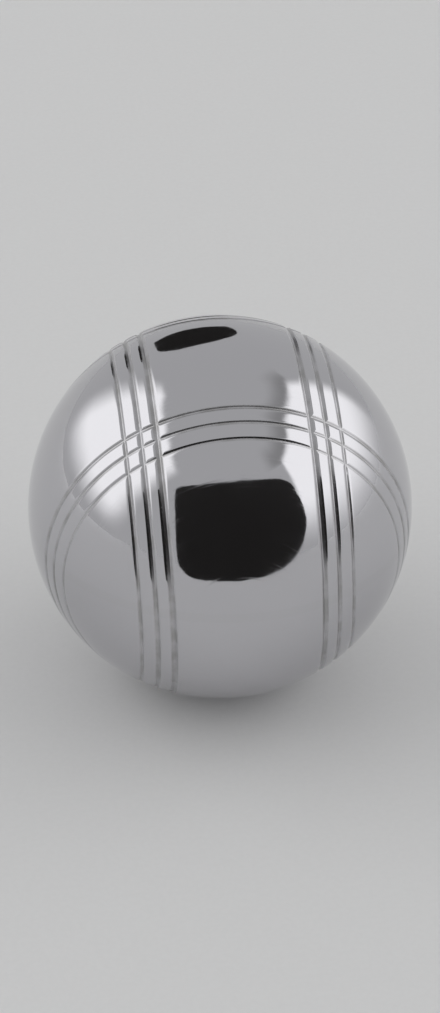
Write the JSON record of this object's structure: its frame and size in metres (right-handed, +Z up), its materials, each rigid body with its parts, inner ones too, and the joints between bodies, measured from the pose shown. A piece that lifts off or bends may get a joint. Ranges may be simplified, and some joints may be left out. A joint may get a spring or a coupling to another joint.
{
  "type": "petanque boule",
  "caption": "Chromed steel boule for play on gravel: two welded half shells round a set filling, with crossed bands of shallow grooves.",
  "frame": {"origin": "centre of the ball", "axes": "+Z up through the ball as it lies, square to the plane of the weld; -Y faces the viewer, and +X is to the viewer's right"},
  "size_m": [0.073, 0.073, 0.073],
  "materials": {
    "shell_chrome": "polished",
    "weld_chrome": "polished",
    "mortar": "matte",
    "plug_chrome": "polished"
  },
  "bodies": {
    "root": {"upper_shell": "shell_chrome", "lower_shell": "shell_chrome", "weld_seam": "weld_chrome", "filling": "mortar", "fill_plug": "plug_chrome"}
  },
  "joints": []
}
